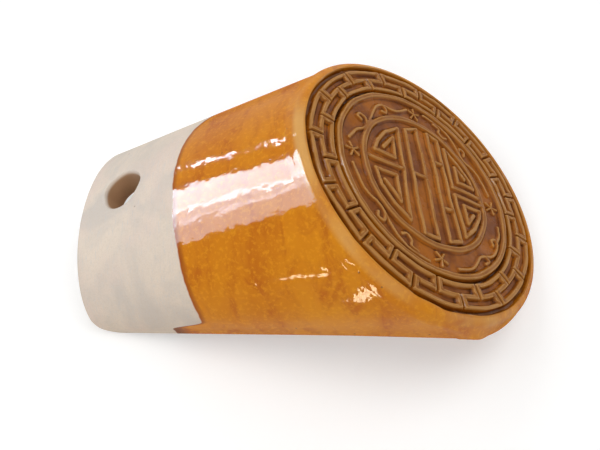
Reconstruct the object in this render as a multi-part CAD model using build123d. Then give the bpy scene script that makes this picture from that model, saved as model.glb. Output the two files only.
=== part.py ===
from build123d import *
import math
import os

# Ridge tile: one fired clay piece. All sizes in millimetres.
# Tile frame while it is being built: X runs along the tile towards the head, Y across it,
# Z up towards the crown. Z = 0 is the plane of the two long lower edges.

# overall body
wall = 20.0                # thickness of the barrel along the crown
tail_width = 184.0         # outside width across the tail end
tail_rise = 59.0           # outside height of the tail end over the lower edges
tail_leg = 4.0             # upright part of the tail end's sides
tail_x = -279.0            # position of the tail end at the lower edges
tail_lean = 5.7            # lean of the tail end away from the head
tail_corner_round = 20.0   # rounding of the tail's two lower corners
head_diameter = 250.0      # widest circle of the head
face_tilt = 45.0           # angle between the face's normal and the length of the tile
face_centre_z = 29.0       # height of the face centre over the lower edges
edge_dip = 5.0             # drop of the lower edges where they meet the head plate
edge_dip_x = -75.0         # where the lower edges start to drop

# hollow under the barrel: a round cone under the crown, half widths on the plane Z = 0
hollow_tail_half = 70.0    # at the tail end
hollow_head_half = 98.0    # under the face centre

# head plate, depths measured behind the face plane
plate_depth = 22.0         # thickness of the head plate with its rim
rim_depth = 11.6           # depth of the widest circle
rim_round = 8.0            # rounding between the rim and the face
rim_lean = 14.0            # lean of the rim's side between the widest circle and the rounding
back_round = 7.0           # rounding of the rim towards the back
rim_proud = 0.5            # how far the rim stands out past the barrel

# face relief, radii from the centre of the face
outer_groove_r = 114.0
groove_width = 3.4
groove_depth = 4.5
field_depth = 3.0
fret_inner_r = 91.0
inner_ring_outer_r = 88.0
inner_ring_width = 4.2
roundel_ring_outer_r = 64.4
roundel_ring_width = 4.0

# fret: T-shaped recesses that interlock, one set from outside and one from inside
fret_count = 15
fret_first_angle = 180.0
fret_rib = 3.4
fret_end_rib = 3.4
stem_width = 2.2

# roundel lines, drawn in parts of the outer groove's radius with the long bars upright
line_width = 3.6
line_top = -0.4            # height of the lines over the face plane
roundel_turn = -87.8       # turn of the roundel about the face centre

# star flowers between the two rings
star_ray = 6.5
star_line = 2.0
star_top = -0.8

# how far cutters run past a surface, and how far raised lines reach into the plate
overcut = 1.0
root = 0.5

# nail hole through the crown
nail_hole_d = 34.0
nail_hole_from_tail = 40.5

head_r = head_diameter / 2
tilt = math.radians(face_tilt)
normal = Vector(math.cos(tilt), 0, math.sin(tilt))
face_centre = Vector(0, 0, face_centre_z)
face_plane = Plane(origin=face_centre, x_dir=(0, 1, 0), z_dir=normal)


def arch_face(plane, half_width, leg, rise):
    """Arch of two legs and a half ellipse, drawn on a plane whose local Y points up."""
    arch = EllipticalCenterArc((0, 0), half_width, rise, start_angle=0, arc_size=180)
    base = Polyline((-half_width, 0), (-half_width, -leg), (half_width, -leg), (half_width, 0))
    return plane * make_face([arch, base])


# barrel: loft from the tail arch to the head circle
lean = math.radians(tail_lean)
depth_below = edge_dip + overcut
tail_plane = Plane(
    origin=(tail_x - tail_leg * math.tan(lean), 0, tail_leg),
    x_dir=(0, 1, 0),
    z_dir=(math.cos(lean), 0, math.sin(lean)),
)
head_plane = face_plane.offset(-rim_depth)
tail_arch = arch_face(
    tail_plane,
    tail_width / 2,
    (tail_leg + depth_below) / math.cos(lean),
    (tail_rise - tail_leg) / math.cos(lean),
)
barrel_r = head_r - rim_proud
head_arch = arch_face(
    head_plane, barrel_r, (head_plane.origin.Z + depth_below) / math.cos(tilt), barrel_r
)
outer = loft([tail_arch, head_arch])
crown = head_plane.from_local_coords((0, barrel_r, 0))
tail_crown_x = tail_x - tail_rise * math.tan(lean)
crown_slope = math.atan2(crown.Z - tail_rise, crown.X - tail_crown_x)


def hollow_circle(x, half_width):
    """Radius and centre height of the hollow at x, a wall's thickness under the crown."""
    roof = tail_rise + (x - tail_crown_x) * math.tan(crown_slope) - wall / math.cos(crown_slope)
    radius = (half_width ** 2 / roof + roof) / 2
    return radius, roof - radius


# hollow: a cone that runs out past the tail end, cut away before the head plate is added
tail_radius, tail_height = hollow_circle(tail_x, hollow_tail_half)
head_radius, head_height = hollow_circle(0, hollow_head_half)
axis_slope = math.atan2(head_height - tail_height, -tail_x)
axis_length = math.hypot(tail_x, head_height - tail_height)
spread = (head_radius - tail_radius) / axis_length
run_out = 2 * wall
sink = tail_radius * (1 / math.cos(axis_slope) - 1)
hollow = Cone(
    tail_radius - spread * run_out,
    head_radius,
    axis_length + run_out,
    align=(Align.CENTER, Align.CENTER, Align.MAX),
)
barrel = outer - Pos(0, 0, head_height - sink) * Rot(0, 90 - math.degrees(axis_slope), 0) * hollow

# cut the lower edges, level and then dipping to the head, and round the tail's lower corners
reach_x = 2 * abs(tail_x)
below = Pos(0, 0, -reach_x / 2) * Box(2 * reach_x, 2 * head_diameter, reach_x)
dip_slope = math.degrees(math.atan2(edge_dip, -edge_dip_x))
dip_start = Pos(edge_dip_x, 0, 0) * Rot(0, dip_slope, 0)
barrel -= below & (dip_start * below)
corner = Pos(tail_x, 0, 0) * Box(2 * tail_corner_round, 2 * head_diameter, 2 * tail_corner_round)
corner_axis = Pos(tail_x + tail_corner_round, 0, tail_corner_round) * Rot(90, 0, 0)
corner -= corner_axis * Cylinder(tail_corner_round, 3 * head_diameter)
barrel -= corner

# head plate: turned profile, radius along local X, height over the face plane along local Z
lean_angle = math.radians(rim_lean)
groove_out = outer_groove_r + groove_width / 2
fret_outer_r = outer_groove_r - groove_width / 2
inner_ring_inner_r = inner_ring_outer_r - inner_ring_width
roundel_ring_inner_r = roundel_ring_outer_r - roundel_ring_width
rim_arc = CenterArc((groove_out, -rim_round), rim_round, rim_lean, 90 - rim_lean)
back_arc = CenterArc((head_r - back_round, -plate_depth + back_round), back_round, -90, 90)
back_line = Line((0, -plate_depth), (head_r - back_round, -plate_depth))
side_line = Polyline((head_r, -plate_depth + back_round), (head_r, -rim_depth), rim_arc @ 0)
face_line = Polyline(
    (groove_out, 0),
    (groove_out, -groove_depth),
    (fret_outer_r, -groove_depth),
    (fret_outer_r, 0),
    (fret_inner_r, 0),
    (fret_inner_r, -groove_depth),
    (inner_ring_outer_r, -groove_depth),
    (inner_ring_outer_r, 0),
    (inner_ring_inner_r, 0),
    (inner_ring_inner_r, -field_depth),
    (roundel_ring_outer_r, -field_depth),
    (roundel_ring_outer_r, line_top),
    (roundel_ring_inner_r, line_top),
    (roundel_ring_inner_r, -field_depth),
    (0, -field_depth),
    (0, -plate_depth),
)
plate_section = Plane.XZ * make_face([back_line, back_arc, side_line, rim_arc, face_line])
plate = revolve(plate_section, Axis.Z)


def sector(r_in, r_out, mid_angle, half_angle):
    """Ring sector between two radii about a middle angle."""
    a0 = mid_angle - half_angle
    out_arc = CenterArc((0, 0), r_out, a0, 2 * half_angle)
    in_arc = CenterArc((0, 0), r_in, a0, 2 * half_angle)
    side_a = Line(in_arc @ 0, out_arc @ 0)
    side_b = Line(in_arc @ 1, out_arc @ 1)
    return make_face([out_arc, side_a, in_arc, side_b])


def stem(r_in, r_out, angle):
    """Narrow slot along a radius."""
    return Rot(0, 0, angle) * Pos((r_in + r_out) / 2, 0) * Rectangle(r_out - r_in, stem_width)


# fret ring
mid_r = (fret_outer_r + fret_inner_r) / 2
pitch = 360 / fret_count
bar_half_angle = pitch / 2 - math.degrees((stem_width / 2 + fret_end_rib) / mid_r)
recess = []
for i in range(fret_count):
    a = fret_first_angle + roundel_turn + i * pitch
    b = a + pitch / 2
    recess.append(sector(fret_inner_r + fret_rib, mid_r - fret_rib / 2, a, bar_half_angle))
    recess.append(stem(mid_r - fret_rib, fret_outer_r + overcut, a))
    recess.append(sector(mid_r + fret_rib / 2, fret_outer_r - fret_rib, b, bar_half_angle))
    recess.append(stem(fret_inner_r - overcut, mid_r + fret_rib, b))
recess_sketch = Sketch() + recess
plate -= extrude(Pos(0, 0, -field_depth) * recess_sketch, field_depth + overcut)


def rib(start, end, width):
    """Straight raised line between two points in millimetres."""
    dx = end[0] - start[0]
    dy = end[1] - start[1]
    length = math.hypot(dx, dy) + width
    turn = math.degrees(math.atan2(dy, dx))
    middle = Pos((start[0] + end[0]) / 2, (start[1] + end[1]) / 2)
    return middle * Rot(0, 0, turn) * Rectangle(length, width)


def path(points):
    """Chain of raised lines through points given in parts of the outer groove's radius."""
    scaled = [(x * outer_groove_r, y * outer_groove_r) for x, y in points]
    return [rib(p, q, line_width) for p, q in zip(scaled, scaled[1:])]


# roundel: a left and a right long bar, each with two hooked triangles that wind inwards,
# and between them two closed frames with cross links
upper_left = [
    (-0.53, 0.01), (-0.205, 0.01), (-0.205, 0.40), (-0.33, 0.30), (-0.42, 0.18),
    (-0.455, 0.09), (-0.275, 0.09), (-0.265, 0.27), (-0.37, 0.15),
]
lower_left = [
    (-0.205, 0.01), (-0.225, -0.42), (-0.34, -0.33), (-0.43, -0.21), (-0.465, -0.08),
    (-0.285, -0.08), (-0.285, -0.29), (-0.40, -0.16),
]
upper_right = [
    (0.53, 0.04), (0.265, 0.04), (0.255, 0.40), (0.37, 0.30), (0.455, 0.18),
    (0.485, 0.11), (0.335, 0.11), (0.33, 0.26), (0.41, 0.17),
]
lower_right = [
    (0.53, -0.03), (0.27, -0.03), (0.28, -0.38), (0.40, -0.28), (0.475, -0.16),
    (0.49, -0.10), (0.345, -0.10), (0.345, -0.25), (0.42, -0.16),
]
left_frame = [
    (-0.125, 0.43), (-0.01, 0.485), (0.01, -0.49), (-0.115, -0.49), (-0.125, 0.43),
]
right_frame = [
    (0.10, 0.485), (0.195, 0.455), (0.22, -0.445), (0.115, -0.48), (0.10, 0.485),
]
links = [[(-0.12, 0.02), (0.0, 0.02)], [(0.10, 0.22), (0.20, 0.22)], [(0.11, -0.19), (0.21, -0.19)]]
roundel_lines = []
for chain in [upper_left, lower_left, upper_right, lower_right, left_frame, right_frame] + links:
    roundel_lines += path(chain)
roundel_disc = Circle(roundel_ring_inner_r + root)
roundel_sketch = (Sketch() + roundel_lines) & roundel_disc
relief = extrude(Pos(0, 0, -field_depth - root) * roundel_sketch, field_depth + root + line_top)
plate += Rot(0, 0, roundel_turn) * relief

# star flowers of six rays at four places between the rings
star_r = (inner_ring_inner_r + roundel_ring_outer_r) / 2
star = Sketch() + [Rot(0, 0, turn) * Rectangle(2 * star_ray, star_line) for turn in (0, 60, 120)]
star_body = extrude(Pos(0, 0, -field_depth - root) * star, field_depth + root + star_top)
for quarter in range(4):
    plate += Rot(0, 0, roundel_turn + 90 * quarter) * Pos(star_r, 0, 0) * star_body

# join plate and barrel, then pierce the crown square to its slope
tile = barrel + face_plane.location * plate
hole_x = tail_crown_x + nail_hole_from_tail * math.cos(crown_slope)
hole_z = tail_rise + nail_hole_from_tail * math.sin(crown_slope)
drill = Rot(0, -math.degrees(crown_slope), 0) * Cylinder(nail_hole_d / 2, 3 * wall)
tile -= Pos(hole_x, 0, hole_z) * drill

# lie the tile down as it rests: on its two tail corners and on the lowest arc of the plate
tail_round_x = tail_x + tail_corner_round
tail_round_z = tail_corner_round
plate_round = face_plane.offset(back_round - plate_depth).from_local_coords(
    (0, back_round - head_r, 0)
)
span_x = plate_round.X - tail_round_x
span_z = plate_round.Z - tail_round_z
reach = math.hypot(span_x, span_z)
rest_angle = math.atan2(span_z, span_x) - math.asin((back_round - tail_corner_round) / reach)
tile = Rot(0, math.degrees(rest_angle), 0) * tile

# origin on the floor under the middle of the tile
box = tile.bounding_box()
tile = Pos(-box.center().X, -box.center().Y, -box.min.Z) * tile

os.makedirs("parts", exist_ok=True)
export_step(tile, "parts/ridge_tile.step")
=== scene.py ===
import math

import bmesh
import bpy
import numpy as np
from mathutils import Euler, Matrix, Vector

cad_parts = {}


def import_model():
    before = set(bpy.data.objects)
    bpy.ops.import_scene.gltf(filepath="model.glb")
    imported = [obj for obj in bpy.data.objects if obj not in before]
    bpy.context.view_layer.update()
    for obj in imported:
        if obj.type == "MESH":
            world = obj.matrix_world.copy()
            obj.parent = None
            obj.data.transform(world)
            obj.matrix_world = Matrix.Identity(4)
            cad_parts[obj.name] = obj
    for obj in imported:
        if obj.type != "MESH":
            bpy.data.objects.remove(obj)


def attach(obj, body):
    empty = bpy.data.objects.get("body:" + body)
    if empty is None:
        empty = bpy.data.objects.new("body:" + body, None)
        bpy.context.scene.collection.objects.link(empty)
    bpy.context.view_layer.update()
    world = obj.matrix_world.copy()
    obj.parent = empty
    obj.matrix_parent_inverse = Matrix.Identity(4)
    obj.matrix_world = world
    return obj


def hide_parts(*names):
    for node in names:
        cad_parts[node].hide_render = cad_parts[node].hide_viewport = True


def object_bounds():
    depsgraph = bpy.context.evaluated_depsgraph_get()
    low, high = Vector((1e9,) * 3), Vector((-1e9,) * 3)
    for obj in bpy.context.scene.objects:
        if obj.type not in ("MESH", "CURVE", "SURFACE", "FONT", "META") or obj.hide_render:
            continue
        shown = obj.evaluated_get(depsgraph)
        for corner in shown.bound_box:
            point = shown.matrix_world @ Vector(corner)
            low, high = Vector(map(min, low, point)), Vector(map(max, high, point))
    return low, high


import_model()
cad_low, cad_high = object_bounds()

# Ridge tile. Sizes in millimetres in the tile's own frame: X runs along the tile towards the
# head, Y across it, Z up towards the crown, and Z = 0 is the plane of the lower edges.
MM = 0.001

# barrel
wall = 20.0
tail_width = 184.0
tail_rise = 59.0
tail_leg = 4.0
tail_x = -279.0
tail_lean = math.radians(5.7)
rest_corner_round = 20.0  # the corner that the tile rests on, as in the solid
seen_corner_round = 23.0  # the same corner as it is cut here
head_r = 125.0
rim_proud = 0.5
face_tilt = math.radians(45.0)
face_centre_z = 29.0
edge_dip = 5.0
edge_dip_x = -75.0
edge_dip_blend = 18.0
edge_margin = 1.0  # how far the full barrel runs on below the dip before it is cut
leg_share = 0.8  # how far the sides stand straight under the widest circle, 0 none to 1 full
hollow_tail_half = 70.0
hollow_head_half = 98.0

# head plate
plate_depth = 22.0
rim_depth = 11.6
rim_round = 8.0
rim_lean = math.radians(14.0)
rim_fuller = 2.2  # extra width where the rim meets the lower edges
back_round = 7.0
back_sweep = math.radians(68.0)
inside_box = 0.04  # how far the rim stays inside the solid's

# relief of the face, radii from its centre
outer_groove_r = 114.0
groove_width = 3.4
groove_depth = 4.5
field_depth = 3.0
fret_inner_r = 91.0
inner_ring_outer_r = 88.0
inner_ring_width = 4.2
roundel_ring_outer_r = 64.4
roundel_ring_width = 4.0
fret_count = 15
fret_rib = 3.4
fret_end_rib = 3.4
stem_width = 2.2
line_width = 3.6
line_top = -0.4
star_ray = 6.5
star_line = 2.0
star_top = -0.8
roundel_turn = math.radians(-87.8)

# nail hole
nail_hole_r = 17.0
nail_hole_from_tail = 40.5
nail_reach = 60.0

# colours, linear: amber of the barrel, brown glaze of the face, bare clay
amber_light = (0.690, 0.245, 0.004)
amber_dark = (0.580, 0.170, 0.001)
amber_run = (0.430, 0.085, 0.001)
amber_mottle = (0.800, 0.340, 0.010)
amber_thin = (0.700, 0.400, 0.130)
amber_pool = (0.450, 0.062, 0.002)
glaze_speck = (0.105, 0.026, 0.006)
glaze_lip = (0.330, 0.072, 0.004)
glaze_drip = (0.150, 0.045, 0.014)
field_dark = (0.185, 0.046, 0.003)
field_light = (0.390, 0.115, 0.003)
groove_dark = (0.130, 0.036, 0.003)
groove_light = (0.240, 0.080, 0.010)
ridge_light = (0.330, 0.120, 0.016)
ridge_dark = (0.240, 0.075, 0.006)
# colour of the creases on the face: pooled glaze together with painted shade
crevice_pooling_and_shade = (0.060, 0.017, 0.002)
# colour of the sharp edges on the face: thin glaze together with a painted highlight
edge_thin_glaze_and_highlight = (0.520, 0.255, 0.070)
clay_light = (0.735, 0.610, 0.490)
clay_grey = (0.600, 0.515, 0.440)
clay_pink = (0.720, 0.560, 0.470)
clay_grain = (0.54, 0.41, 0.29)
clay_scratch = (0.540, 0.520, 0.510)
clay_speck = (0.20, 0.12, 0.07)
hole_brown = (0.410, 0.230, 0.115)

# where the glaze ends, in metres of the tile frame
glaze_end_x = -0.1933
glaze_end_bow = 1.1
glaze_end_bow_far = 2.6
glaze_end_bow_limit = 0.07
glaze_foot_reach = 0.028
glaze_foot_low = 0.0095
glaze_foot_high = 0.0215

groove_out = outer_groove_r + groove_width / 2
fret_outer_r = outer_groove_r - groove_width / 2
normal = np.array([math.cos(face_tilt), 0.0, math.sin(face_tilt)])
across = np.array([0.0, 1.0, 0.0])
upward = np.array([-math.sin(face_tilt), 0.0, math.cos(face_tilt)])
face_centre = np.array([0.0, 0.0, face_centre_z])


def on_face(x, y, height):
    """Points of the tile frame from coordinates of the face and height over its plane."""
    x = np.asarray(x)[..., None]
    y = np.asarray(y)[..., None]
    height = np.asarray(height)[..., None]
    return face_centre + x * across + y * upward + height * normal


# how the tile lies: turned about Y until it rests on its tail corners and its plate
plate_round = on_face(0.0, back_round - head_r, back_round - plate_depth)
span_x = plate_round[0] - (tail_x + rest_corner_round)
span_z = plate_round[2] - rest_corner_round
rest_turn = math.atan2(span_z, span_x) - math.asin(
    (back_round - rest_corner_round) / math.hypot(span_x, span_z)
)
turned = Matrix.Rotation(rest_turn, 4, "Y")
tail_crown = Vector((tail_x - tail_rise * math.tan(tail_lean), 0.0, tail_rise))
tail_corner = Vector((tail_x + rest_corner_round, 0.0, rest_corner_round))
shift = Vector((
    cad_low.x / MM - (turned @ tail_crown).x,
    0.0,
    rest_corner_round - (turned @ tail_corner).z,
))
to_row = Matrix.Scale(MM, 4) @ Matrix.Translation(shift) @ turned


def row_points(points):
    """Tile-frame millimetres to row-frame metres."""
    m = np.array(to_row)
    return points @ m[:3, :3].T + m[:3, 3]


def smooth_step(t):
    t = np.clip(t, 0.0, 1.0)
    return t * t * (3 - 2 * t)


def inside(distance, edge):
    """1 inside a shape and 0 outside, from the signed distance, over a soft edge."""
    return smooth_step(0.5 - distance / edge)


def wobble(x, y, scale, seed):
    """Slow unevenness of a hand-made surface, about -1 to 1."""
    total = np.zeros(np.shape(x))
    for k in range(1, 5):
        a = seed * 1.7 + k * 2.4
        fx = math.cos(a) / (scale * (0.6 + 0.35 * k))
        fy = math.sin(a) / (scale * (0.6 + 0.35 * k))
        total = total + np.sin(2 * math.pi * (fx * x + fy * y) + seed + 1.3 * k)
    return total / 2.5


def chain_distance(x, y, points):
    """Distance to a chain of straight lines."""
    best = np.full(np.shape(x), 1e9)
    for (ax, ay), (bx, by) in zip(points, points[1:]):
        dx = bx - ax
        dy = by - ay
        t = np.clip(((x - ax) * dx + (y - ay) * dy) / (dx * dx + dy * dy), 0.0, 1.0)
        best = np.minimum(best, np.hypot(x - ax - t * dx, y - ay - t * dy))
    return best


def smooth_chain(points, steps=5):
    """A smooth curve through a few points, as a finer chain."""
    p = [np.array(q, float) for q in points]
    p = [2 * p[0] - p[1]] + p + [2 * p[-1] - p[-2]]
    fine = []
    for a, b, c, d in zip(p, p[1:], p[2:], p[3:]):
        for k in range(steps):
            t = k / steps
            fine.append(0.5 * (
                2 * b + (c - a) * t + (2 * a - 5 * b + 4 * c - d) * t ** 2
                + (3 * b - a - 3 * c + d) * t ** 3
            ))
    fine.append(p[-2])
    return fine


# roundel: a left and a right long bar, each with two hooked triangles, and two closed frames
roundel_chains = [
    [(-60.4, 1.1), (-23.4, 1.1), (-23.4, 45.6), (-37.6, 34.2), (-47.9, 20.5),
     (-51.9, 10.3), (-31.4, 10.3), (-30.2, 30.8), (-42.2, 17.1)],
    [(-23.4, 1.1), (-25.6, -47.9), (-38.8, -37.6), (-49.0, -23.9), (-53.0, -9.1),
     (-32.5, -9.1), (-32.5, -33.1), (-45.6, -18.2)],
    [(60.4, 4.6), (30.2, 4.6), (29.1, 45.6), (42.2, 34.2), (51.9, 20.5),
     (55.3, 12.5), (38.2, 12.5), (37.6, 29.6), (46.7, 19.4)],
    [(60.4, -3.4), (30.8, -3.4), (31.9, -43.3), (45.6, -31.9), (54.2, -18.2),
     (55.9, -11.4), (39.3, -11.4), (39.3, -28.5), (47.9, -18.2)],
    [(-14.2, 49.0), (-1.1, 55.3), (1.1, -55.9), (-13.1, -55.9), (-14.2, 49.0)],
    [(11.4, 55.3), (22.2, 51.9), (25.1, -50.7), (13.1, -54.7), (11.4, 55.3)],
    [(-13.7, 2.3), (0.0, 2.3)],
    [(11.4, 25.1), (22.8, 25.1)],
    [(12.5, -21.7), (23.9, -21.7)],
]

# ribbons that curl between the star flowers, one group for each quarter of the band
lower_left = [
    [(-75, -14), (-71, -25), (-66, -34), (-60, -39), (-55, -42), (-50.5, -47.5), (-49.5, -53.5),
     (-52.3, -57.7), (-56.3, -55.5), (-55.5, -51)],
    [(-50.5, -47.5), (-46.5, -57), (-40.7, -66), (-33, -73), (-24, -76.5), (-13, -79)],
    [(-36, -62.5), (-31.5, -61.5), (-28.2, -66), (-28.9, -71), (-23.5, -74)],
]
lower_right = [
    [(17.5, -77), (26.8, -74.7), (34.3, -71), (40, -65), (44.3, -59.3), (50, -56.8),
     (53.7, -60.3), (50.2, -63.5)],
    [(50, -56.8), (58, -54), (64.3, -48.5), (69.3, -40), (67.7, -35), (63, -37), (64, -41)],
    [(69.5, -36.5), (74.3, -29.3), (76.5, -20)],
]
upper_left = [
    [(-75.5, 12), (-71.5, 17.3), (-66.5, 24), (-59.8, 28.2), (-56, 34), (-56.5, 40.7),
     (-61.5, 43.2), (-64.3, 39.8), (-61, 37.3)],
    [(-56, 34), (-51.5, 42.3), (-48.3, 52.3), (-43.7, 61.5), (-36.5, 66.5), (-32.3, 63.2),
     (-33.2, 58.9), (-37.3, 59.5)],
    [(-34, 66.8), (-24, 66.5), (-17.3, 69.5), (-8.5, 76)],
]
upper_right = [[(-x, -y) for x, y in chain] for chain in lower_left]
ribbon_width = 3.0
ribbon_height = 1.9


def fret_recess(radius, angle):
    """Signed distance to the T-shaped recesses of the fret ring."""
    mid_r = (fret_outer_r + fret_inner_r) / 2
    pitch = 2 * math.pi / fret_count
    half_bar = pitch / 2 - (stem_width / 2 + fret_end_rib) / mid_r
    best = np.full(np.shape(radius), 1e9)
    for set_turn, low, high, stem_low, stem_high in (
        (0.0, fret_inner_r + fret_rib, mid_r - fret_rib / 2, mid_r - fret_rib, fret_outer_r + 3),
        (0.5, mid_r + fret_rib / 2, fret_outer_r - fret_rib, fret_inner_r - 3, mid_r + fret_rib),
    ):
        folded = (angle - math.pi) / pitch - set_turn
        side = (folded - np.round(folded)) * pitch * radius
        for half, r_low, r_high in (
            (half_bar * radius, low, high),
            (np.full(np.shape(radius), stem_width / 2), stem_low, stem_high),
        ):
            qx = np.abs(side) - half
            qy = np.abs(radius - (r_low + r_high) / 2) - (r_high - r_low) / 2
            outer = np.hypot(np.maximum(qx, 0), np.maximum(qy, 0))
            best = np.minimum(best, outer + np.minimum(np.maximum(qx, qy), 0))
    return best


def band(radius, low, high, edge):
    """1 between two radii, with soft sides."""
    return inside(np.abs(radius - (low + high) / 2) - (high - low) / 2, edge)


def relief(x, y):
    """Height of the face over its plane, at coordinates turned with the roundel."""
    shaky_x = x + 0.55 * wobble(x, y, 34.0, 1.0)
    shaky_y = y + 0.55 * wobble(x, y, 31.0, 2.0)
    radius = np.hypot(shaky_x, shaky_y)
    angle = np.arctan2(shaky_y, shaky_x)
    edge = 2.3
    ring_in = inner_ring_outer_r - inner_ring_width
    roundel_in = roundel_ring_outer_r - roundel_ring_width
    full = field_depth
    raised = full * band(radius, ring_in - 0.7, inner_ring_outer_r + 0.5, edge)
    fret = band(radius, fret_inner_r, fret_outer_r, 1.4)
    fret = fret * (1 - 0.97 * inside(fret_recess(radius, angle) + 0.45, 1.9))
    raised = np.maximum(raised, full * fret)
    raised = np.maximum(raised, full * inside(groove_out - radius, 1.4))
    ring_top = field_depth + line_top
    roundel_ring = band(radius, roundel_in - 0.5, roundel_ring_outer_r + 0.9, edge)
    raised = np.maximum(raised, ring_top * roundel_ring)
    inner = radius < roundel_in + 2
    lines = np.full(x.shape, 1e9)
    for chain in roundel_chains:
        near = chain_distance(shaky_x[inner], shaky_y[inner], chain)
        lines[inner] = np.minimum(lines[inner], near)
    raised = np.maximum(raised, ring_top * inside(lines - line_width / 2 - 0.15, edge))
    ring = (radius > roundel_ring_outer_r - 2) & (radius < ring_in + 2)
    rays = np.full(x.shape, 1e9)
    star_r = (ring_in + roundel_ring_outer_r) / 2
    for quarter in range(4):
        cx = star_r * math.cos(quarter * math.pi / 2)
        cy = star_r * math.sin(quarter * math.pi / 2)
        for k in range(5):
            a = quarter * math.pi / 2 + 2 * math.pi * k / 5
            ray = [(cx, cy), (cx + star_ray * math.cos(a), cy + star_ray * math.sin(a))]
            rays[ring] = np.minimum(rays[ring], chain_distance(shaky_x[ring], shaky_y[ring], ray))
    star_height = field_depth + star_top
    raised = np.maximum(raised, star_height * inside(rays - star_line / 2, 1.6))
    ribbons = np.full(x.shape, 1e9)
    for chain in lower_left + lower_right + upper_left + upper_right:
        near = chain_distance(shaky_x[ring], shaky_y[ring], smooth_chain(chain))
        ribbons[ring] = np.minimum(ribbons[ring], near)
    raised = np.maximum(raised, ribbon_height * inside(ribbons - ribbon_width / 2, 1.8))
    deeper = 0.8 * (groove_depth - field_depth) * (
        band(radius, inner_ring_outer_r, fret_inner_r, 1.6)
        + band(radius, fret_outer_r, groove_out, 1.6)
    )
    uneven = 0.20 * wobble(x, y, 22.0, 3.0) + 0.10 * wobble(x, y, 9.0, 4.0)
    uneven = uneven * (radius < groove_out)
    return raised - field_depth - deeper + uneven


# closed mesh of the head and the full barrel, before it is cut: rings round the face's centre
ring_full = 720
barrel_r = head_r - rim_proud
leg_depth = edge_dip + edge_margin
head_leg = (face_centre_z - rim_depth * math.sin(face_tilt) + leg_depth) / math.cos(face_tilt)
edge_angle = -math.asin(head_leg / head_r)


def ring_angles(count):
    return -math.pi / 2 + 2 * math.pi * np.arange(count) / count


def face_rings():
    """Rings of the relief from the middle to the rim."""
    rings = []
    parts = [
        (np.arange(1.2, 14.0, 1.2), ring_full // 8),
        (np.arange(14.5, 29.0, 1.0), ring_full // 4),
        (np.arange(29.5, 57.5, 0.95), ring_full // 2),
        (np.arange(57.6, groove_out + 1.4, 0.92), ring_full),
    ]
    for radii, count in parts:
        for radius in radii:
            a = ring_angles(count)
            x = radius * np.cos(a - roundel_turn)
            y = radius * np.sin(a - roundel_turn)
            height = relief(x, y)
            rings.append(on_face(radius * np.cos(a), radius * np.sin(a), height))
    return rings


def fuller(count):
    """How far the rim stands out where it meets the lower edges of the barrel."""
    folded = folded_angles(count)[0]
    from_edge = np.abs(folded - edge_angle + math.radians(10))
    return rim_fuller * smooth_step(1 - from_edge / math.radians(26))


def folded_angles(count):
    """Angles of the rings, with the far side folded onto the near one."""
    a = ring_angles(count)
    return np.where(a > math.pi / 2, math.pi - a, a), np.where(a > math.pi / 2, -1.0, 1.0)


def tail_section(count):
    """Outline of the tail end for each angle round the face, closed well below the edges."""
    a, side = folded_angles(count)
    y = tail_width / 2 * np.cos(np.maximum(a, 0))
    z = tail_leg + (tail_rise - tail_leg) * np.sin(np.maximum(a, 0))
    low = math.radians(-31)
    down = head_r * -np.sin(np.clip(a, low, 0)) / head_leg
    z = z - (tail_leg + leg_depth) * down
    under = np.clip((a + math.pi / 2) / (low + math.pi / 2), 0.0, 1.0)
    x = tail_x - np.maximum(z, 0) * math.tan(tail_lean)
    return np.stack([x, side * y * under, z], 1)


def barrel_path(count, along):
    """Points of the outer surface, a share of the way from the widest circle to the tail."""
    a = ring_angles(count)
    folded, side = folded_angles(count)
    leg = leg_share * smooth_step((folded + math.radians(45)) / math.radians(14)) * (folded < 0)
    start_x = side * barrel_r * (np.cos(folded) + (1 - np.cos(folded)) * leg)
    start = on_face(start_x, barrel_r * np.sin(folded), np.full(count, -rim_depth))
    end = tail_section(count)
    straight = start + (end - start) * along
    belly = 1.0 * math.sin(math.pi * along) * np.maximum(np.sin(a), 0) * (0.5 + 0.5 * np.cos(a))
    straight = straight + belly[:, None] * np.array([0.0, 0.35, 0.9])
    length = np.linalg.norm(end - start, axis=1)
    d = length * along
    flat = plate_depth - back_round - rim_depth
    sweep = np.clip((d - flat) / back_round, 0.0, back_sweep)
    beyond = np.maximum(d - flat - back_round * back_sweep, 0.0)
    inward = back_round * (1 - np.cos(sweep)) + beyond * math.sin(back_sweep)
    back = rim_depth + np.minimum(d, flat) + back_round * np.sin(sweep)
    back = back + beyond * math.cos(back_sweep)
    radius = head_r - inside_box + fuller(count) - inward
    turned_in = on_face(radius * np.cos(a), radius * np.sin(a), -back)
    reach = smooth_step(beyond / 12.0)[:, None]
    turned_in = turned_in * (1 - reach) + straight * reach
    upper = smooth_step((folded - edge_angle + math.radians(9)) / math.radians(8))[:, None]
    return straight * upper + turned_in * (1 - upper)


def rim_rings():
    """Rings over the rounded rim, and round the arris between the rim and the barrel."""
    rings = []
    a = ring_angles(ring_full)
    for k in range(1, 9):
        t = math.pi / 2 - (math.pi / 2 - rim_lean) * k / 8 * 0.98 - 0.09 * (1 - k / 8)
        radius = groove_out + rim_round * math.cos(t) - inside_box
        height = rim_round * math.sin(t) - rim_round - inside_box
        rings.append(on_face(radius * np.cos(a), radius * np.sin(a), np.full(ring_full, height)))
    last = rings[-1]
    widest_r = head_r - inside_box + fuller(ring_full)
    widest = on_face(widest_r * np.cos(a), widest_r * np.sin(a), np.full(ring_full, -rim_depth))
    after = barrel_path(ring_full, 0.016)
    for t in (0.2, 0.4, 0.6, 0.8, 1.0):
        near = last + (widest - last) * (0.35 + 0.65 * t)
        far = widest + (after - widest) * t
        rings.append(near * (1 - t) + far * t)
    return rings


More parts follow.
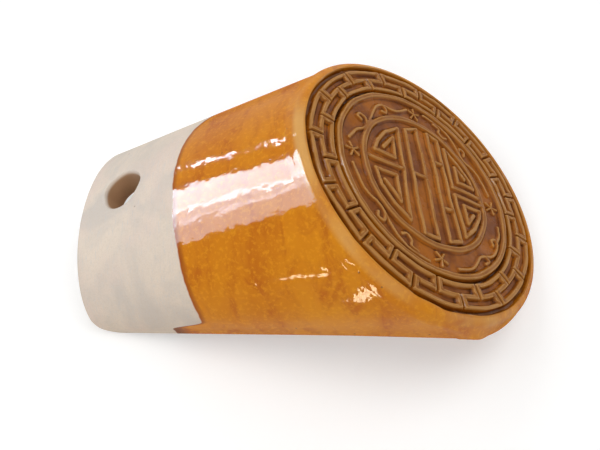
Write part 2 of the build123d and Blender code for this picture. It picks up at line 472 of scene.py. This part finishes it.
def barrel_rings():
    """Rings along the barrel down to the rounded tail end."""
    rings = []
    count = ring_full // 2
    for k in range(1, 45):
        along = 0.016 + (0.985 - 0.016) * (k / 44) ** 1.3
        rings.append(barrel_path(count, along))
    end = tail_section(count)
    middle = np.array([tail_x, 0.0, 20.0])
    for inset, back in ((0.8, 0.7), (2.6, 0.0), (40.0, 0.0), (75.0, 0.0)):
        scale = 1 - inset / (tail_width / 2)
        ring = middle + (end - middle) * scale
        ring[:, 0] = tail_x - ring[:, 2] * math.tan(tail_lean) + back
        rings.append(ring)
    return rings


def closed_mesh(name, rings, first, last):
    """Closed mesh from rings whose counts are equal or double, and its two end points."""
    points = [np.array([first])]
    faces = []
    offset = 1
    previous = None
    for ring in rings:
        count = len(ring)
        if previous is None:
            faces += [(0, offset + j, offset + (j + 1) % count) for j in range(count)]
        else:
            p_off, p_count = previous
            if count == p_count:
                for j in range(count):
                    k = (j + 1) % count
                    faces.append((p_off + j, offset + j, offset + k, p_off + k))
            elif count == 2 * p_count:
                for j in range(p_count):
                    k = (j + 1) % p_count
                    m = offset + 2 * j
                    n = offset + (2 * j + 2) % count
                    faces.append((p_off + j, m, m + 1))
                    faces.append((p_off + j, m + 1, p_off + k))
                    faces.append((p_off + k, m + 1, n))
            else:
                for j in range(count):
                    k = (j + 1) % count
                    m = p_off + 2 * j
                    n = p_off + (2 * j + 2) % p_count
                    faces.append((m, offset + j, m + 1))
                    faces.append((m + 1, offset + j, offset + k))
                    faces.append((m + 1, offset + k, n))
        points.append(ring)
        previous = (offset, count)
        offset += count
    p_off, p_count = previous
    faces += [(p_off + j, offset, p_off + (j + 1) % p_count) for j in range(p_count)]
    points.append(np.array([last]))
    return mesh_object(name, np.concatenate(points), faces)


def mesh_object(name, points, faces):
    """Object from tile-frame points, with its faces turned outwards."""
    mesh = bpy.data.meshes.new(name)
    mesh.from_pydata(row_points(points).tolist(), [], faces)
    work = bmesh.new()
    work.from_mesh(mesh)
    bmesh.ops.recalc_face_normals(work, faces=work.faces)
    work.to_mesh(mesh)
    work.free()
    obj = bpy.data.objects.new(name, mesh)
    bpy.context.scene.collection.objects.link(obj)
    return obj


def outer_form():
    """The whole outside: face, rim, barrel and tail end."""
    rings = face_rings() + rim_rings() + barrel_rings()
    centre_height = float(relief(np.array([0.001]), np.array([0.0]))[0])
    first = on_face(0.0, 0.0, centre_height)
    last = np.array([tail_x - 20 * math.tan(tail_lean), 0.0, 20.0])
    return closed_mesh("ridge_tile_glazed", rings, first, last)


def back_plane_x(z, depth):
    """X of a plane behind the face, at a height."""
    return (-depth - (z - face_centre_z) * math.sin(face_tilt)) / math.cos(face_tilt)


def under_cutter():
    """What lies under the lower edges and behind the head plate."""
    r = seen_corner_round
    centre_x = tail_x - r * math.tan(tail_lean) + r / math.cos(tail_lean)
    deep = -260.0
    outline = [(tail_x - 120, deep), (tail_x - 120, r * (1 - math.sin(tail_lean)))]
    for k in range(9):
        a = math.pi + tail_lean + (math.pi / 2 - tail_lean) * k / 8
        outline.append((centre_x + r * math.cos(a), r + r * math.sin(a)))
    slope = edge_dip / edge_dip_x
    for step in (-edge_dip_blend, 0.0, edge_dip_blend):
        drop = (step + edge_dip_blend) ** 2 / (4 * edge_dip_blend)
        outline.append((edge_dip_x + step, slope * drop))
    low = slope * (3.0 - edge_dip_x)
    outline += [(back_plane_x(low, plate_depth), low), (back_plane_x(deep, plate_depth), deep)]
    n = len(outline)
    points = [(x, side * 240.0, z) for side in (-1, 1) for x, z in outline]
    faces = [tuple(range(n)), tuple(range(2 * n - 1, n - 1, -1))]
    faces += [(j, (j + 1) % n, n + (j + 1) % n, n + j) for j in range(n)]
    return mesh_object("under", np.array(points), faces)


crown_x = -rim_depth * math.cos(face_tilt) - barrel_r * math.sin(face_tilt)
crown_z = face_centre_z - rim_depth * math.sin(face_tilt) + barrel_r * math.cos(face_tilt)
crown_slope = math.atan2(crown_z - tail_rise, crown_x - tail_crown.x)
nail_centre = Vector((
    tail_crown.x + nail_hole_from_tail * math.cos(crown_slope), 0.0,
    tail_rise + nail_hole_from_tail * math.sin(crown_slope),
))


def hollow_circle(x, half_width):
    """Radius and centre height of the hollow at x, a wall's thickness under the crown."""
    roof = tail_rise + (x - tail_crown.x) * math.tan(crown_slope) - wall / math.cos(crown_slope)
    radius = (half_width ** 2 / roof + roof) / 2
    return radius, roof - radius


def hollow_cutter():
    """The round hollow, from beyond the tail end to the back of the head plate."""
    tail_radius, tail_height = hollow_circle(tail_x, hollow_tail_half)
    head_radius, head_height = hollow_circle(0.0, hollow_head_half)
    count = 144
    a = 2 * math.pi * np.arange(count) / count
    ring_0 = np.stack([np.full(count, tail_x), tail_radius * np.cos(a),
                       tail_height + tail_radius * np.sin(a)], 1)
    ring_1 = np.stack([np.zeros(count), head_radius * np.cos(a),
                       head_height + head_radius * np.sin(a)], 1)
    along = ring_1 - ring_0
    cut_depth = plate_depth + 0.4
    stop = (-cut_depth - (ring_0 - face_centre) @ normal) / (along @ normal)
    start = -40.0 / -tail_x
    rings = []
    steps = 24
    for k in range(steps + 1):
        t = start + (stop - start) * k / steps
        ring = ring_0 + along * t[:, None]
        if 0 < k < steps:
            uneven = 0.5 * wobble(ring[:, 0], 60 * a, 70.0, 5.0)
            ring = ring + uneven[:, None] * np.stack([0 * a, np.cos(a), np.sin(a)], 1)
        rings.append(ring)
    first = rings[0].mean(0)
    last = rings[-1].mean(0)
    last = last - ((last - face_centre) @ normal + cut_depth) * normal
    return closed_mesh("hollow", rings, first, last)


def nail_cutter():
    """The nail hole, square to the crown, with a worn outer edge."""
    centre = np.array(nail_centre)
    out = np.array([-math.sin(crown_slope), 0.0, math.cos(crown_slope)])
    ahead = np.array([math.cos(crown_slope), 0.0, math.sin(crown_slope)])
    a = 2 * math.pi * np.arange(72) / 72
    rings = []
    profile = [(-nail_reach, -0.2), (-34, -0.2), (-14, -0.2), (-5, -0.1), (-3.2, 0.0),
               (-1.8, 0.2), (-0.9, 0.6), (0.0, 1.3), (6.0, 7.0)]
    for height, flare in profile:
        uneven = 0.5 * np.sin(3 * a + 0.6) + 0.3 * np.sin(5 * a + height / 9)
        radius = nail_hole_r + flare + uneven
        drop = 0.5 * (radius * np.sin(a)) ** 2 / 95.0
        ring = centre + radius[:, None] * (np.cos(a)[:, None] * ahead + np.sin(a)[:, None] * across)
        ring = ring + (height - drop * (height > -8))[:, None] * out
        rings.append(ring)
    return closed_mesh("nail", rings, centre - nail_reach * out, centre + 6 * out)


def cut(obj, cutter):
    """Takes the cutter's room out of the object."""
    step = obj.modifiers.new("cut", "BOOLEAN")
    step.operation = "DIFFERENCE"
    step.object = cutter
    step.solver = "MANIFOLD"
    bpy.context.view_layer.update()
    graph = bpy.context.evaluated_depsgraph_get()
    made = bpy.data.meshes.new_from_object(obj.evaluated_get(graph))
    obj.modifiers.clear()
    obj.data = made
    bpy.data.objects.remove(cutter)


def clean(obj):
    """Joins points that the cuts left almost on each other, and shades the surface smoothly."""
    work = bmesh.new()
    work.from_mesh(obj.data)
    bmesh.ops.remove_doubles(work, verts=work.verts, dist=0.00003)
    bmesh.ops.dissolve_degenerate(work, edges=work.edges, dist=0.00001)
    bmesh.ops.triangulate(work, faces=[f for f in work.faces if len(f.verts) > 4])
    work.to_mesh(obj.data)
    work.free()
    obj.data.shade_smooth()
    obj.data.set_sharp_from_angle(angle=math.radians(38))


def nail_frame():
    """Frame at the outer mouth of the nail hole, X ahead along the crown and Z out of the hole."""
    return Matrix.Translation(nail_centre * MM) @ Matrix.Rotation(-crown_slope, 4, "Y")


def glaze_material():
    """Amber glaze over fired clay, with the tail end left bare."""
    material = bpy.data.materials.new("glazed_clay")
    material.use_nodes = True
    tree = material.node_tree
    tree.nodes.clear()

    def node(kind, **values):
        made = tree.nodes.new(kind)
        for key, value in values.items():
            setattr(made, key, value)
        return made

    def wire(source, target, socket):
        tree.links.new(source, target.inputs[socket])

    def calc(operation, a, b=None):
        made = node("ShaderNodeMath", operation=operation)
        for index, value in enumerate((a, b)):
            if value is None:
                continue
            if isinstance(value, (int, float)):
                made.inputs[index].default_value = value
            else:
                wire(value, made, index)
        return made.outputs[0]

    def span(value, low, high):
        """0 below low, 1 above high, smooth between."""
        made = node("ShaderNodeMapRange", interpolation_type="SMOOTHSTEP")
        wire(value, made, "Value")
        made.inputs["From Min"].default_value = low
        made.inputs["From Max"].default_value = high
        return made.outputs["Result"]

    def noise(vector, scale, detail=3.0, rough=0.5, distortion=0.0):
        made = node("ShaderNodeTexNoise")
        wire(vector, made, "Vector")
        made.inputs["Scale"].default_value = scale
        made.inputs["Detail"].default_value = detail
        made.inputs["Roughness"].default_value = rough
        made.inputs["Distortion"].default_value = distortion
        return made.outputs["Fac"]

    def blend(share, a, b):
        made = node("ShaderNodeMix", data_type="RGBA")
        wire(share, made, "Factor")
        for name, value in (("A", a), ("B", b)):
            socket = [s for s in made.inputs if s.name == name and s.type == "RGBA"][0]
            if isinstance(value, tuple):
                socket.default_value = (*value, 1.0)
            else:
                tree.links.new(value, socket)
        return [s for s in made.outputs if s.type == "RGBA"][0]

    place = node("ShaderNodeTexCoord").outputs["Object"]

    def in_frame(matrix):
        """The surface point in another frame, in metres."""
        made = node("ShaderNodeMapping", vector_type="TEXTURE")
        wire(place, made, "Vector")
        made.inputs["Location"].default_value = matrix.to_translation()
        made.inputs["Rotation"].default_value = matrix.to_euler()
        return made.outputs["Vector"]

    tile_frame = Matrix.Translation(shift * MM) @ turned
    tile = in_frame(tile_frame)
    face_axes = Matrix((across, upward, normal)).transposed().to_4x4()
    face = in_frame(tile_frame @ Matrix.Translation(Vector(face_centre) * MM) @ face_axes)
    tile_parts = node("ShaderNodeSeparateXYZ")
    wire(tile, tile_parts, 0)
    tile_x_out, tile_y_out, tile_z_out = tile_parts.outputs
    face_parts = node("ShaderNodeSeparateXYZ")
    wire(face, face_parts, 0)
    height = face_parts.outputs[2]
    face_x_squared = calc("POWER", face_parts.outputs[0], 2)
    face_y_squared = calc("POWER", face_parts.outputs[1], 2)
    face_radius = calc("SQRT", calc("ADD", face_x_squared, face_y_squared))

    # masks: the face inside the rim, and the glazed part of the barrel
    in_rim = calc("SUBTRACT", 1, span(face_radius, 0.1145, 0.1185))
    near_face = span(height, -0.0075, -0.0055)
    on_relief = calc("MULTIPLY", in_rim, near_face)
    slow = noise(tile, 26.0, 2.0)
    fine = noise(tile, 140.0, 3.0)
    bow = calc("MULTIPLY", calc("POWER", tile_y_out, 2), glaze_end_bow)
    beyond = calc("MINIMUM", calc("MAXIMUM", tile_y_out, 0), glaze_end_bow_limit)
    bow = calc("ADD", bow, calc("MULTIPLY", calc("POWER", beyond, 2), glaze_end_bow_far))
    low_down = calc("SUBTRACT", 1, span(tile_z_out, glaze_foot_low, glaze_foot_high))
    foot = calc("MULTIPLY", low_down, glaze_foot_reach)
    line = calc("SUBTRACT", calc("ADD", bow, glaze_end_x), foot)
    line = calc("ADD", line, calc("MULTIPLY", calc("SUBTRACT", slow, 0.5), 0.0045))
    line = calc("ADD", line, calc("MULTIPLY", calc("SUBTRACT", fine, 0.5), 0.0015))
    past_line = calc("SUBTRACT", tile_x_out, line)
    glazed = span(past_line, -0.0006, 0.0006)
    lip = calc("MULTIPLY", span(past_line, -0.0008, 0.0006),
               calc("SUBTRACT", 1, span(past_line, 0.0004, 0.0060)))

    # amber of the barrel, with slow clouds, runs down the sides and small specks
    stretched = node("ShaderNodeMapping")
    wire(tile, stretched, "Vector")
    stretched.inputs["Scale"].default_value = (1.0, 0.45, 0.45)
    clouds = noise(stretched.outputs[0], 17.0, 4.0, 0.55, 0.4)
    runs = noise(stretched.outputs[0], 60.0, 5.0, 0.6, 0.8)
    amber = blend(span(clouds, 0.30, 0.72), amber_light, amber_dark)
    amber = blend(calc("MULTIPLY", span(runs, 0.46, 0.70), 0.60), amber, amber_run)
    mottle = noise(tile, 320.0, 3.0, 0.6)
    amber = blend(calc("MULTIPLY", span(mottle, 0.48, 0.70), 0.50), amber, amber_mottle)
    specks = node("ShaderNodeTexVoronoi")
    wire(tile, specks, "Vector")
    specks.inputs["Scale"].default_value = 75.0
    chosen = node("ShaderNodeSeparateColor")
    wire(specks.outputs["Color"], chosen, 0)
    speck = calc("MULTIPLY", calc("SUBTRACT", 1, span(specks.outputs["Distance"], 0.035, 0.085)),
                 span(chosen.outputs[0], 0.60, 0.64))
    amber = blend(calc("MULTIPLY", speck, 0.75), amber, glaze_speck)

    rim = calc("MULTIPLY", span(face_radius, 0.1160, 0.1185), span(height, -0.0085, -0.0030))
    rim = calc("MULTIPLY", rim, span(noise(tile, 11.0, 2.0), 0.38, 0.60))
    amber = blend(calc("MULTIPLY", rim, 0.75), amber, amber_thin)
    pools = calc("MULTIPLY", span(noise(tile, 19.0, 3.0, 0.5), 0.56, 0.68),
                 calc("SUBTRACT", 1, span(tile_z_out, 0.020, 0.075)))
    amber = blend(calc("MULTIPLY", pools, 0.60), amber, amber_pool)

    # face: thick brown glaze in the recesses, thin and pale on the ridges; creases darkened by
    # pooled glaze together with painted shade, sharp edges lightened by thin glaze together with a
    # painted highlight
    curve = node("ShaderNodeNewGeometry").outputs["Pointiness"]
    face_clouds = noise(face, 30.0, 4.0, 0.6)
    field = blend(span(face_clouds, 0.36, 0.64), field_dark, field_light)
    groove = blend(span(face_radius, 0.1115, 0.1140), groove_dark, groove_light)
    groove = blend(span(height, -0.0042, -0.0032), groove, field)
    top = blend(span(noise(face, 60.0, 3.0), 0.35, 0.7), ridge_light, ridge_dark)
    face_colour = blend(span(height, -0.0020, -0.0008), groove, top)
    # painted shade in the hollow creases of the face, together with the darker pooled glaze there,
    # less of it towards the outer groove
    crevice_pooling_and_shade_share = calc("SUBTRACT", 1, span(curve, 0.440, 0.492))
    shaded = calc("MULTIPLY", span(face_radius, 0.1115, 0.1145), -0.45)
    crevice_pooling_and_shade_share = calc("MULTIPLY", crevice_pooling_and_shade_share, calc("ADD", shaded, 0.80))
    face_colour = blend(crevice_pooling_and_shade_share, face_colour, crevice_pooling_and_shade)
    # the mask called worn lightens the sharp edges of the face: thin glaze over them together with
    # a painted highlight
    worn = span(curve, 0.507, 0.545)
    face_colour = blend(calc("MULTIPLY", worn, 0.80), face_colour, edge_thin_glaze_and_highlight)
    glaze_colour = blend(on_relief, amber, face_colour)
    glaze_colour = blend(calc("MULTIPLY", lip, 0.90), glaze_colour, glaze_lip)
    drip = calc("MULTIPLY", calc("SUBTRACT", 1, span(tile_x_out, -0.2060, -0.1960)),
                calc("SUBTRACT", 1, span(tile_z_out, 0.010, 0.018)))
    glaze_colour = blend(calc("MULTIPLY", drip, 0.75), glaze_colour, glaze_drip)

    # bare clay
    grain = noise(tile, 700.0, 4.0, 0.7)
    stains = noise(tile, 21.0, 4.0, 0.6, 0.5)
    blush = noise(tile, 13.0, 3.0, 0.6)
    clay = blend(span(stains, 0.35, 0.68), clay_light, clay_grey)
    clay = blend(calc("MULTIPLY", span(blush, 0.46, 0.66), 0.55), clay, clay_pink)
    clay = blend(calc("MULTIPLY", span(grain, 0.40, 0.75), 0.30), clay, clay_grain)
    scratch_map = node("ShaderNodeMapping")
    wire(tile, scratch_map, "Vector")
    scratch_map.inputs["Rotation"].default_value = (0.3, 0.2, 0.9)
    scratch_map.inputs["Scale"].default_value = (12.0, 1.0, 3.0)
    scratches = noise(scratch_map.outputs[0], 90.0, 2.0, 0.6)
    clay = blend(calc("MULTIPLY", span(scratches, 0.54, 0.74), 0.45), clay, clay_scratch)
    clay = blend(calc("MULTIPLY", speck, 0.5), clay, clay_speck)
    hole_parts = node("ShaderNodeSeparateXYZ")
    wire(in_frame(tile_frame @ nail_frame()), hole_parts, 0)
    hole_x, hole_y, hole_z = hole_parts.outputs
    hole_r = calc("SQRT", calc("ADD", calc("POWER", hole_x, 2), calc("POWER", hole_y, 2)))
    in_hole = calc("MULTIPLY", calc("SUBTRACT", 1, span(hole_r, 0.0178, 0.0196)),
                   calc("SUBTRACT", 1, span(hole_z, -0.0035, -0.0008)))
    clay = blend(calc("MULTIPLY", in_hole, 0.95), clay, hole_brown)

    # relief too fine for the mesh
    swell = noise(tile, 38.0, 3.0, 0.5)
    ripple = noise(tile, 105.0, 2.0, 0.5)
    orange_peel = noise(tile, 260.0, 1.0, 0.5)
    glaze_height = calc("ADD", swell, calc("MULTIPLY", ripple, 0.62))
    glaze_height = calc("ADD", glaze_height, calc("MULTIPLY", orange_peel, 0.10))
    glaze_height = calc("ADD", glaze_height, calc("MULTIPLY", speck, -0.5))
    glaze_height = calc("ADD", glaze_height, calc("MULTIPLY", lip, 0.12))
    bump_glaze = node("ShaderNodeBump")
    bump_glaze.inputs["Strength"].default_value = 0.35
    bump_glaze.inputs["Distance"].default_value = 0.0012
    wire(glaze_height, bump_glaze, "Height")
    bump_clay = node("ShaderNodeBump")
    bump_clay.inputs["Strength"].default_value = 0.5
    bump_clay.inputs["Distance"].default_value = 0.0004
    wire(calc("ADD", grain, calc("MULTIPLY", scratches, 0.5)), bump_clay, "Height")

    glaze = node("ShaderNodeBsdfPrincipled")
    wire(glaze_colour, glaze, "Base Color")
    rough = noise(tile, 48.0, 3.0)
    glaze_rough = calc("ADD", calc("MULTIPLY", rough, 0.03), calc("MULTIPLY", on_relief, 0.22))
    wire(calc("ADD", glaze_rough, 0.04), glaze, "Roughness")
    glaze.inputs["IOR"].default_value = 1.5
    glaze.inputs["Specular IOR Level"].default_value = 0.14
    wire(bump_glaze.outputs[0], glaze, "Normal")
    dull = node("ShaderNodeBsdfDiffuse")
    wire(glaze_colour, dull, "Color")
    facing = node("ShaderNodeLayerWeight").outputs["Facing"]
    glazing = node("ShaderNodeMixShader")
    wire(calc("MULTIPLY", span(facing, 0.50, 0.86), 0.90), glazing, 0)
    wire(glaze.outputs[0], glazing, 1)
    wire(dull.outputs[0], glazing, 2)
    bare = node("ShaderNodeBsdfPrincipled")
    wire(clay, bare, "Base Color")
    bare.inputs["Roughness"].default_value = 0.85
    bare.inputs["IOR"].default_value = 1.4
    wire(bump_clay.outputs[0], bare, "Normal")
    both = node("ShaderNodeMixShader")
    wire(glazed, both, 0)
    wire(bare.outputs[0], both, 1)
    wire(glazing.outputs[0], both, 2)
    output = node("ShaderNodeOutputMaterial")
    wire(both.outputs[0], output, "Surface")
    return material


def seen_directly(tree):
    """1 for rays of the camera and for mirrored and refracted ones, 0 for light that falls."""
    path = tree.nodes.new("ShaderNodeLightPath")
    value = path.outputs["Is Camera Ray"]
    for name in ("Is Glossy Ray", "Is Transmission Ray"):
        most = tree.nodes.new("ShaderNodeMath")
        most.operation = "MAXIMUM"
        tree.links.new(value, most.inputs[0])
        tree.links.new(path.outputs[name], most.inputs[1])
        value = most.outputs[0]
    return value


def floor():
    """Plain pale floor that keeps the tile's shadow."""
    mesh = bpy.data.meshes.new("floor")
    size = 6.0
    mesh.from_pydata([(-size, -size, 0), (size, -size, 0), (size, size, 0), (-size, size, 0)], [],
                     [(0, 1, 2, 3)])
    obj = bpy.data.objects.new("floor", mesh)
    bpy.context.scene.collection.objects.link(obj)
    obj.location.z = -0.0002
    material = bpy.data.materials.new("floor")
    material.use_nodes = True
    tree = material.node_tree
    shader = tree.nodes["Principled BSDF"]
    shader.inputs["Base Color"].default_value = (0.74, 0.74, 0.74, 1)
    shader.inputs["Roughness"].default_value = 0.9
    shader.inputs["Specular IOR Level"].default_value = 0.0
    place = tree.nodes.new("ShaderNodeTexCoord")
    away = tree.nodes.new("ShaderNodeVectorMath")
    away.operation = "LENGTH"
    tree.links.new(place.outputs["Object"], away.inputs[0])
    paler = tree.nodes.new("ShaderNodeMapRange")
    paler.interpolation_type = "SMOOTHSTEP"
    tree.links.new(away.outputs["Value"], paler.inputs["Value"])
    for name, value in (("From Min", 0.4), ("From Max", 3.0), ("To Min", 0.36), ("To Max", 0.70)):
        paler.inputs[name].default_value = value
    lift = tree.nodes.new("ShaderNodeMath")
    lift.operation = "MULTIPLY"
    tree.links.new(paler.outputs["Result"], lift.inputs[1])
    tree.links.new(seen_directly(tree), lift.inputs[0])
    shader.inputs["Emission Color"].default_value = (1, 1, 1, 1)
    tree.links.new(lift.outputs[0], shader.inputs["Emission Strength"])
    mesh.materials.append(material)


def world():
    """Even pale surroundings, shown white behind the tile."""
    made = bpy.data.worlds.new("studio")
    made.use_nodes = True
    tree = made.node_tree
    background = tree.nodes["Background"]
    background.inputs["Color"].default_value = (1.0, 0.99, 0.97, 1)
    seen = tree.nodes.new("ShaderNodeMath")
    seen.operation = "MULTIPLY_ADD"
    fill = 0.38
    tree.links.new(seen_directly(tree), seen.inputs[0])
    seen.inputs[1].default_value = 1.0 - fill
    seen.inputs[2].default_value = fill
    tree.links.new(seen.outputs[0], background.inputs["Strength"])
    bpy.context.scene.world = made


def area_light(name, azimuth, elevation, distance, width, height, radiance, part,
               tint=(1.0, 1.0, 1.0), aim=(0.0, 0.0, 0.07)):
    """Soft light from a direction (azimuth 0 is +Y, 90 is +X), seen as fill or as gloss."""
    az = math.radians(azimuth)
    el = math.radians(elevation)
    aim = Vector(aim)
    direction = Vector((math.sin(az) * math.cos(el), math.cos(az) * math.cos(el), math.sin(el)))
    lamp = bpy.data.lights.new(name, "AREA")
    lamp.shape = "RECTANGLE"
    lamp.size = width
    lamp.size_y = height
    lamp.energy = radiance * math.pi * width * height
    lamp.color = tint
    obj = bpy.data.objects.new(name, lamp)
    obj.visible_camera = False
    obj.visible_diffuse = part == "fill"
    obj.visible_glossy = part == "gloss"
    bpy.context.scene.collection.objects.link(obj)
    obj.location = aim + direction * distance
    obj.rotation_euler = direction.to_track_quat("Z", "Y").to_euler()


def camera():
    """Camera at the photograph's angle, placed in the tile's own frame."""
    data = bpy.data.cameras.new("camera")
    data.sensor_width = 36.0
    focal_px = 578.8
    image_width = 600.0
    data.lens = focal_px * data.sensor_width / image_width
    data.shift_x = -5.0 / image_width
    data.shift_y = -20.0 / image_width
    obj = bpy.data.objects.new("camera", data)
    bpy.context.scene.collection.objects.link(obj)
    eye = Vector((-19.4, -300.8, 395.2))
    look = Euler((math.radians(37.84), math.radians(12.33), math.radians(0.23)))
    place = Matrix.Translation(shift) @ turned @ Matrix.Translation(eye) @ look.to_matrix().to_4x4()
    obj.matrix_world = Matrix.Translation(place.to_translation() * MM) @ place.to_3x3().to_4x4()
    data.clip_start = 0.01
    bpy.context.scene.camera = obj


tile = outer_form()
for cutter in (under_cutter(), hollow_cutter(), nail_cutter()):
    cut(tile, cutter)
clean(tile)
tile.data.materials.clear()
tile.data.materials.append(glaze_material())
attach(tile, "root")
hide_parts("ridge_tile")

floor()
world()
area_light("key", -84, 46, 1.8, 1.2, 1.2, 1.7, "fill")
area_light("ceiling", 60, 68, 2.0, 1.4, 1.4, 2.1, "fill")
area_light("side", -12, 34, 1.8, 0.6, 0.6, 3.1, "fill")
area_light("near", -165, 28, 1.8, 1.0, 0.8, 3.3, "fill")
area_light("window", -74, 34, 1.6, 0.46, 0.86, 50.0, "gloss", (0.70, 0.87, 1.0))
area_light("window_middle", -87, 34, 1.6, 0.28, 0.86, 33.0, "gloss", (0.62, 0.82, 1.0))
area_light("window_foot", -99, 34, 1.6, 0.38, 0.86, 20.0, "gloss", (0.62, 0.82, 1.0))
area_light("slot", -51, 21, 1.8, 0.05, 0.22, 70.0, "gloss", (0.75, 0.88, 1.0))
area_light("slot_upper", -48, 31, 1.8, 0.05, 0.20, 70.0, "gloss", (0.75, 0.88, 1.0))
area_light("front", -149, 5, 1.8, 0.20, 0.07, 52.0, "gloss", (1.0, 0.86, 0.58))
area_light("front_low", -158, -12, 0.2, 0.018, 0.12, 40.0, "gloss", (1.0, 0.86, 0.58),
           (0.05, -0.115, 0.055))
camera()

scene = bpy.context.scene
scene.view_settings.view_transform = "Standard"
